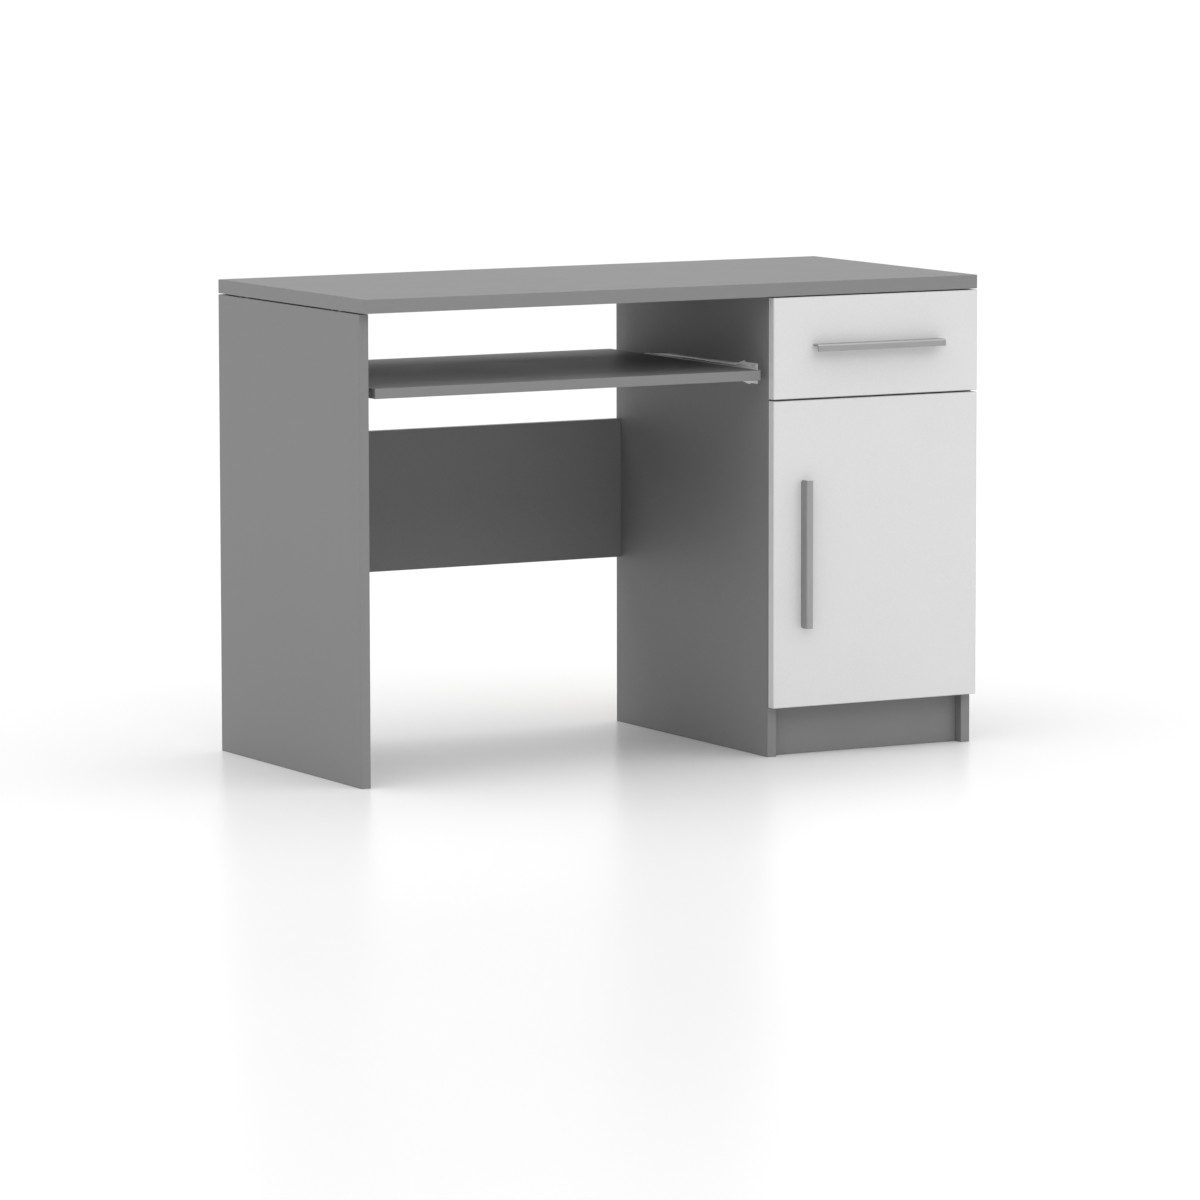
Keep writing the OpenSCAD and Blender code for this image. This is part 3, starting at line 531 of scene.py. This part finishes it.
# ---------- Turned small parts ----------
TURNED_SHARP = math.radians(35)


def turned_grid(radii, heights, turns):
    """Points of a surface of revolution: column j of ring i is (r cos a, r sin a, z) with
    a = 2 pi j / turns."""
    angle = np.arange(turns) * (2 * np.pi / turns)
    r = np.asarray(radii)[:, None]
    z = np.broadcast_to(np.asarray(heights)[:, None], (len(radii), turns))
    return np.stack([r * np.cos(angle), r * np.sin(angle), z], axis=2)


def closed_shell(grid):
    """Vertices and faces of rings joined to their neighbours, with a centre point closing each end.
    The rings run from the bottom pole to the top pole, so the faces look outwards."""
    rings, turns = grid.shape[:2]
    vertices = np.concatenate([grid.reshape(-1, 3), grid[0].mean(0)[None], grid[-1].mean(0)[None]])
    i, j = np.meshgrid(np.arange(rings - 1), np.arange(turns), indexing="ij")
    k = (j + 1) % turns
    quads = np.stack([i * turns + j, i * turns + k, (i + 1) * turns + k, (i + 1) * turns + j], 2)
    j = np.arange(turns)
    k = (j + 1) % turns
    bottom, top = rings * turns, rings * turns + 1
    last = (rings - 1) * turns
    below = np.stack([k, j, np.full(turns, bottom)], 1)
    above = np.stack([last + j, last + k, np.full(turns, top)], 1)
    return vertices, [quads.reshape(-1, 4).tolist(), below.tolist(), above.tolist()]


def placed(vertices, origin, out):
    """Turns local +Z to the unit vector `out` and moves the points to `origin`."""
    turn = np.array(Vector((0, 0, 1)).rotation_difference(Vector(out)).to_matrix())
    return vertices @ turn.T + np.asarray(origin)


def shells_object(shells, name, material):
    """One object from several (vertices, faces) shells."""
    points, faces, start = [], [], 0
    for vertices, groups in shells:
        points.append(vertices)
        for group in groups:
            faces += [[index + start for index in polygon] for polygon in group]
        start += len(vertices)
    mesh = bpy.data.meshes.new(name)
    mesh.from_pydata(np.concatenate(points).tolist(), [], faces)
    mesh.materials.append(material)
    mesh.polygons.foreach_set("use_smooth", [True] * len(mesh.polygons))
    mesh.set_sharp_from_angle(angle=TURNED_SHARP)
    return shown(mesh)


# The cross: the soft edge as a share of the arm's width, and how much shallower the arm's end is
CROSS_SOFT, CROSS_TAPER = 0.16, 0.45


def cross_recess(grid, width, reach, depth):
    """Presses a cross into the top of a head. Each arm is `width` across and `reach` from the middle; the
    depth falls off over the arm's edge by a smooth step, t t (3 - 2 t), and tapers to the arm's end."""
    x, y = np.abs(grid[..., 0]), np.abs(grid[..., 1])
    soft = width * CROSS_SOFT

    def step(distance, limit):
        t = np.clip((limit + soft - distance) / (2 * soft), 0, 1)
        return t * t * (3 - 2 * t)

    arm_x = step(y, width / 2) * step(x, reach)
    arm_y = step(x, width / 2) * step(y, reach)
    taper = 1 - CROSS_TAPER * np.clip(np.hypot(x, y) / reach, 0, 1)
    grid[..., 2] -= depth * np.maximum(arm_x, arm_y) * taper
    return grid


# A plain screw is read like this: what lies within END_SLAB of an end is that end, and what lies further out
# than RIM_SHARE of the widest radius is the head's rim
END_SLAB = 0.1 * MM
RIM_SHARE = 0.9
# The tip, as shares of the shank's radius
TIP_RADII = (0.35, 0.8, 1)
TIP_HEIGHTS = (0, 0.6, 1.2)
# The chamfer under the head: its foot and its height, as shares of the head's radius
HEAD_FOOT, HEAD_CHAMFER = 0.98, 0.08
# A head's top: the share of the head's height that it rises, and the power of its curve
DOMED, FLUSH = (0.55, 2.2), (0.06, 8)
# Its rings run from the rim to the middle, as shares of the head's radius
DOME_FROM, DOME_TO, DOME_RINGS = 0.97, 0.06, 22
# The cross's width and reach are shares of the head's radius, and its depth is one of the head's height
CROSS_WIDTH, CROSS_REACH, CROSS_DEPTH = 0.34, 0.62, 0.55
SCREW_TURNS = 40


def screw_shell(points, flush):
    """One screw for the solid given by its points: a plain shank with a short tip, and a domed or flush head
    with a cross. The head's top is z = length - rise (r / R)^power."""
    low, high = points.min(0), points.max(0)
    axis = int(np.argmax(high - low))
    middle = (low + high) / 2
    off = points - middle
    off[:, axis] = 0
    radius = np.linalg.norm(off, axis=1)
    along = points[:, axis]
    length = high[axis] - low[axis]
    low_end = along < low[axis] + END_SLAB
    high_end = along > high[axis] - END_SLAB
    head_up = radius[high_end].max() > radius[low_end].max()
    out = np.zeros(3)
    out[axis] = 1 if head_up else -1
    wide = radius.max()
    thin = radius[low_end if head_up else high_end].max()
    rim = along[radius > RIM_SHARE * wide]
    head_h = rim.max() - rim.min()
    start = middle - out * length / 2

    share, power = FLUSH if flush else DOMED
    rise = share * head_h
    under = length - head_h
    t = np.linspace(DOME_FROM, DOME_TO, DOME_RINGS)
    shank_radii = [thin * part for part in TIP_RADII] + [thin]
    shank_heights = [thin * part for part in TIP_HEIGHTS] + [under]
    head_radii = [HEAD_FOOT * wide, wide, wide] + list(wide * t)
    head_heights = [under, under + HEAD_CHAMFER * wide, length - rise] + list(length - rise * t ** power)
    grid = turned_grid(shank_radii + head_radii, shank_heights + head_heights, SCREW_TURNS)
    cross_recess(grid[-DOME_RINGS:], CROSS_WIDTH * wide, CROSS_REACH * wide, CROSS_DEPTH * head_h)
    vertices, faces = closed_shell(grid)
    vertices[-1, 2] = grid[-1, :, 2].min()
    return placed(vertices, start, out), faces


def screws(node, name, material, flush=False):
    """A set of screws in place of the plain ones of a node."""
    shells = [screw_shell(points, flush) for points in solids_of(node)]
    return stand_in(shells_object(shells, name, material), node)


# A bumper's foot and its innermost ring, as shares of its radius, and its rim, as a share of its height
PAD_FOOT, PAD_INNER = 0.96, 0.05
PAD_RIM = 0.3
PAD_RINGS, PAD_TURNS = 12, 32


def pads(node, name, material):
    """Soft self-adhesive bumpers: z = h (rim + (1 - rim) (1 - (r / R)^4)) over a short upright rim."""
    shells = []
    for points in solids_of(node):
        low, high = points.min(0), points.max(0)
        size = high - low
        axis = int(np.argmin(size))
        out = np.zeros(3)
        out[axis] = 1
        radius = max(size) / 2
        height = size[axis]
        t = np.linspace(1, PAD_INNER, PAD_RINGS)
        radii = [radius * PAD_FOOT] + list(radius * t)
        heights = [0] + list(height * (PAD_RIM + (1 - PAD_RIM) * (1 - t ** 4)))
        start = (low + high) / 2 - out * height / 2
        vertices, faces = closed_shell(turned_grid(radii, heights, PAD_TURNS))
        shells.append((placed(vertices, start, out), faces))
    return stand_in(shells_object(shells, name, material), node)


# ---------- Camera ----------
# A long lens from the front left, a little above the top
EYE = Vector((-5.3089, -9.6812, 1.5320))
YAW, PITCH, ROLL = (math.radians(a) for a in (28.7174, 6.6809, -0.0951))
SENSOR_MM, LENS_MM = 36.0, 207.894
CLIP_NEAR, CLIP_FAR = 0.5, 200


def make_camera():
    """Looks along (sin yaw cos pitch, cos yaw cos pitch, -sin pitch)."""
    data = bpy.data.cameras.new("camera")
    data.sensor_width = SENSOR_MM
    data.lens = LENS_MM
    data.clip_start = CLIP_NEAR
    data.clip_end = CLIP_FAR
    camera = bpy.data.objects.new("camera", data)
    bpy.context.collection.objects.link(camera)
    forward = Vector((math.sin(YAW) * math.cos(PITCH), math.cos(YAW) * math.cos(PITCH), -math.sin(PITCH)))
    level = Vector((math.cos(YAW), -math.sin(YAW), 0))
    upright = level.cross(forward)
    right = math.cos(ROLL) * level + math.sin(ROLL) * upright
    up = math.cos(ROLL) * upright - math.sin(ROLL) * level
    turn = Matrix((right, up, -forward)).transposed().to_4x4()
    camera.matrix_world = Matrix.Translation(EYE) @ turn
    bpy.context.scene.camera = camera


# ---------- Studio ----------
# A broad soft box overhead, a touch from the front, and a pale sky. The sky is SKY_LOW bright up to the
# first height in SKY_BAND and fades to SKY_HIGH at the second; 0 is the horizon and 1 is overhead.
KEY_STRENGTH = 3.9
KEY_SPREAD = math.radians(120)
KEY_TOWARDS = (0.0, 0.12, -1.0)
SKY_LOW, SKY_HIGH = 0.9, 0.15
SKY_BAND = (0.14, 0.34)
FLOOR_REACH = 60.0


def studio_floor_finish():
    """Seamless pale studio floor: matt white with a soft, low gloss that gives faint blurred reflections."""
    material, place = new_material("studio_floor_white")
    cloud = add(
        material, "ShaderNodeTexNoise", {"Scale": per_metre(1250), "Detail": 2.0}, {"Vector": place}
    ).outputs[0]
    tone = add(
        material, "ShaderNodeValToRGB", links={"Fac": cloud}, stops=[(0.3, "#efefef"), (0.7, "#f1f1f1")]
    ).outputs[0]
    shader = add(
        material, "ShaderNodeBsdfPrincipled", {"Roughness": 0.3, "Specular IOR Level": 1.0},
        {"Base Color": tone},
    )
    return finish_material(material, shader)


def make_floor():
    """A wide flat floor at z = 0, which isn't part of the desk."""
    mesh = bpy.data.meshes.new("studio_floor")
    corners = [(x * FLOOR_REACH, y * FLOOR_REACH, 0) for x, y in ((-1, -1), (1, -1), (1, 1), (-1, 1))]
    mesh.from_pydata(corners, [], [(0, 1, 2, 3)])
    mesh.materials.append(studio_floor_finish())
    shown(mesh)


def make_light():
    """The soft box, as a sun with a very wide disc, and the pale sky."""
    key = bpy.data.lights.new("soft_key", "SUN")
    key.energy = KEY_STRENGTH
    key.angle = KEY_SPREAD
    lamp = bpy.data.objects.new("soft_key", key)
    bpy.context.collection.objects.link(lamp)
    lamp.rotation_euler = Vector(KEY_TOWARDS).to_track_quat("-Z", "Y").to_euler()

    world = bpy.data.worlds.new("pale_sky")
    bpy.context.scene.world = world
    world.use_nodes = True
    world.node_tree.nodes.clear()
    way = add(world, "ShaderNodeTexCoord").outputs["Generated"]
    height = add(world, "ShaderNodeSeparateXYZ", links={0: way}).outputs["Z"]
    strength = add(
        world, "ShaderNodeMapRange",
        {"From Min": SKY_BAND[0], "From Max": SKY_BAND[1], "To Min": SKY_LOW, "To Max": SKY_HIGH},
        {"Value": height}, interpolation_type="SMOOTHSTEP",
    ).outputs[0]
    sky = add(world, "ShaderNodeBackground", {"Color": (1, 1, 1, 1)}, {"Strength": strength})
    add(world, "ShaderNodeOutputWorld", links={"Surface": sky.outputs[0]})
    bpy.context.scene.view_settings.view_transform = "Standard"


# ---------- The desk ----------
def make_boards():
    """All the faced boards, and the hardboard back and drawer bottom."""
    core = chipboard("raw_particle_board")
    looks = {"grey_melamine": GREY, "pale_melamine": PALE}
    for node in BODY_OF:
        slot = SLOT_OF[node]
        if slot in looks:
            face = melamine(f"{slot}_{node}", *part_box(node), **looks[slot])
            board(node, f"{node}_faced", face, core)
    for node, screen_side in (("cupboard_back", 1), ("drawer_bottom", -1)):
        repaint(node, hardboard(f"hardboard_{node}", *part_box(node), screen_side))


def make_handles():
    """Two lengths of one extrusion. Satin anodising leaves an even, silvery grey with soft highlights."""
    satin = {
        "colour": "#a5a5a5", "stain": "#a1a1a1", "rough": (0.5, 0.58),
        "line_mm": 0.5, "cloud_mm": 25, "strength": 0.12,
    }
    level = drawn_metal("satin_anodised_aluminium_level", along=X, **satin)
    upright = drawn_metal("satin_anodised_aluminium_upright", along=Z, **satin)
    eased("drawer_handle", "drawer_handle_extrusion", level, width=0.35 * MM)
    eased("door_handle", "door_handle_extrusion", upright, width=0.35 * MM)


def make_slides():
    """Roll-formed channels and runners, and the ball cages between them."""
    # Bright plating under a clear coat: nearly white, with a soft even gloss
    rolled = drawn_metal(
        "bright_zinc_plated_steel", "#f1f1f1", "#e6e6e6", rough=(0.4, 0.5), along=Y,
        line_mm=0.6, cloud_mm=12, strength=0.08, metallic=0.2,
    )
    # Bare pressed strip: a darker blue-grey with plain drawing lines
    strip = drawn_metal(
        "pressed_steel_strip", "#a3a6a8", "#8d9092", rough=(0.35, 0.5), along=Y,
        line_mm=0.5, cloud_mm=6, strength=0.2,
    )
    for slide in ("tray", "drawer"):
        for hand in ("left", "right"):
            eased(f"{slide}_slide_outer_{hand}", f"{slide}_slide_channel_{hand}", rolled, width=0.22 * MM)
            eased(f"{slide}_slide_inner_{hand}", f"{slide}_slide_runner_{hand}", rolled, width=0.22 * MM)
            eased(f"{slide}_slide_cage_{hand}", f"{slide}_ball_cage_{hand}", strip, width=0.12 * MM)


def make_fittings():
    """Balls, cams, bolts, shelf pins, hinges and screws."""
    # Ground and polished balls: near mirrors
    polished = plated_metal(
        "polished_bearing_steel", "#d5d7d9", "#c6c8ca", rough=(0.06, 0.12), grain_mm=2.0, strength=0.05
    )
    # Pressure castings: a dull grey, slightly grainy skin
    cast = plated_metal(
        "die_cast_zinc", "#9a9d9e", "#868989", rough=(0.45, 0.6), grain_mm=0.4, strength=0.35
    )
    # Barrel plating: a cool bluish silver with middling gloss
    zinc = plated_metal(
        "zinc_plated_steel", "#bcc1c6", "#a4a9ae", rough=(0.26, 0.4), grain_mm=0.6, strength=0.15
    )
    # Nickel over pressed steel: a warm silver with a soft gloss
    nickel = plated_metal(
        "nickel_plated_steel", "#d9d6d0", "#cbc8c2", rough=(0.3, 0.42), grain_mm=0.8, strength=0.08
    )
    for node in ("tray_slide_balls", "drawer_slide_balls"):
        repaint(node, polished)
    for node in ("cam_locks", "drawer_cam_locks"):
        eased(node, f"{node}_cast", cast, width=0.2 * MM)
    for node in ("cam_bolts", "drawer_cam_bolts"):
        repaint(node, zinc)
    eased("shelf_pins", "shelf_pins_turned", zinc, width=0.3 * MM)
    for node in ("hinge_cups", "hinge_arms", "hinge_plates", "hinge_links"):
        eased(node, f"{node}_pressed", nickel, width=0.25 * MM)
    for node in (
        "tray_slide_screws", "tray_edge_screws", "drawer_slide_screws", "drawer_runner_screws",
        "drawer_handle_screws", "door_handle_screws", "hinge_cup_screws", "hinge_plate_screws",
    ):
        screws(node, f"{node}_cross_head", zinc)
    screws("drawer_box_screws", "drawer_box_screws_flush", zinc, flush=True)


def make_small_parts():
    """Dowels, spacer rings and bumpers."""
    repaint("dowels", beech("turned_beech"))
    # Polythene: a mid grey with a low, waxy gloss
    grey = moulded_plastic("moulded_grey_polythene", "#6e6e6e", "#666666", rough=0.5, soft=0.0)
    eased("top_spacers", "top_spacer_rings", grey, width=0.2 * MM)
    # Clear polyurethane gel: a milky white that lets some light through
    gel = moulded_plastic("soft_clear_polyurethane", "#e4e4de", "#dadad3", rough=0.3, soft=0.3)
    for node in ("drawer_bumpers", "door_bumpers"):
        pads(node, f"{node}_domed", gel)


make_camera()
make_floor()
make_light()
make_boards()
make_handles()
make_slides()
make_fittings()
make_small_parts()
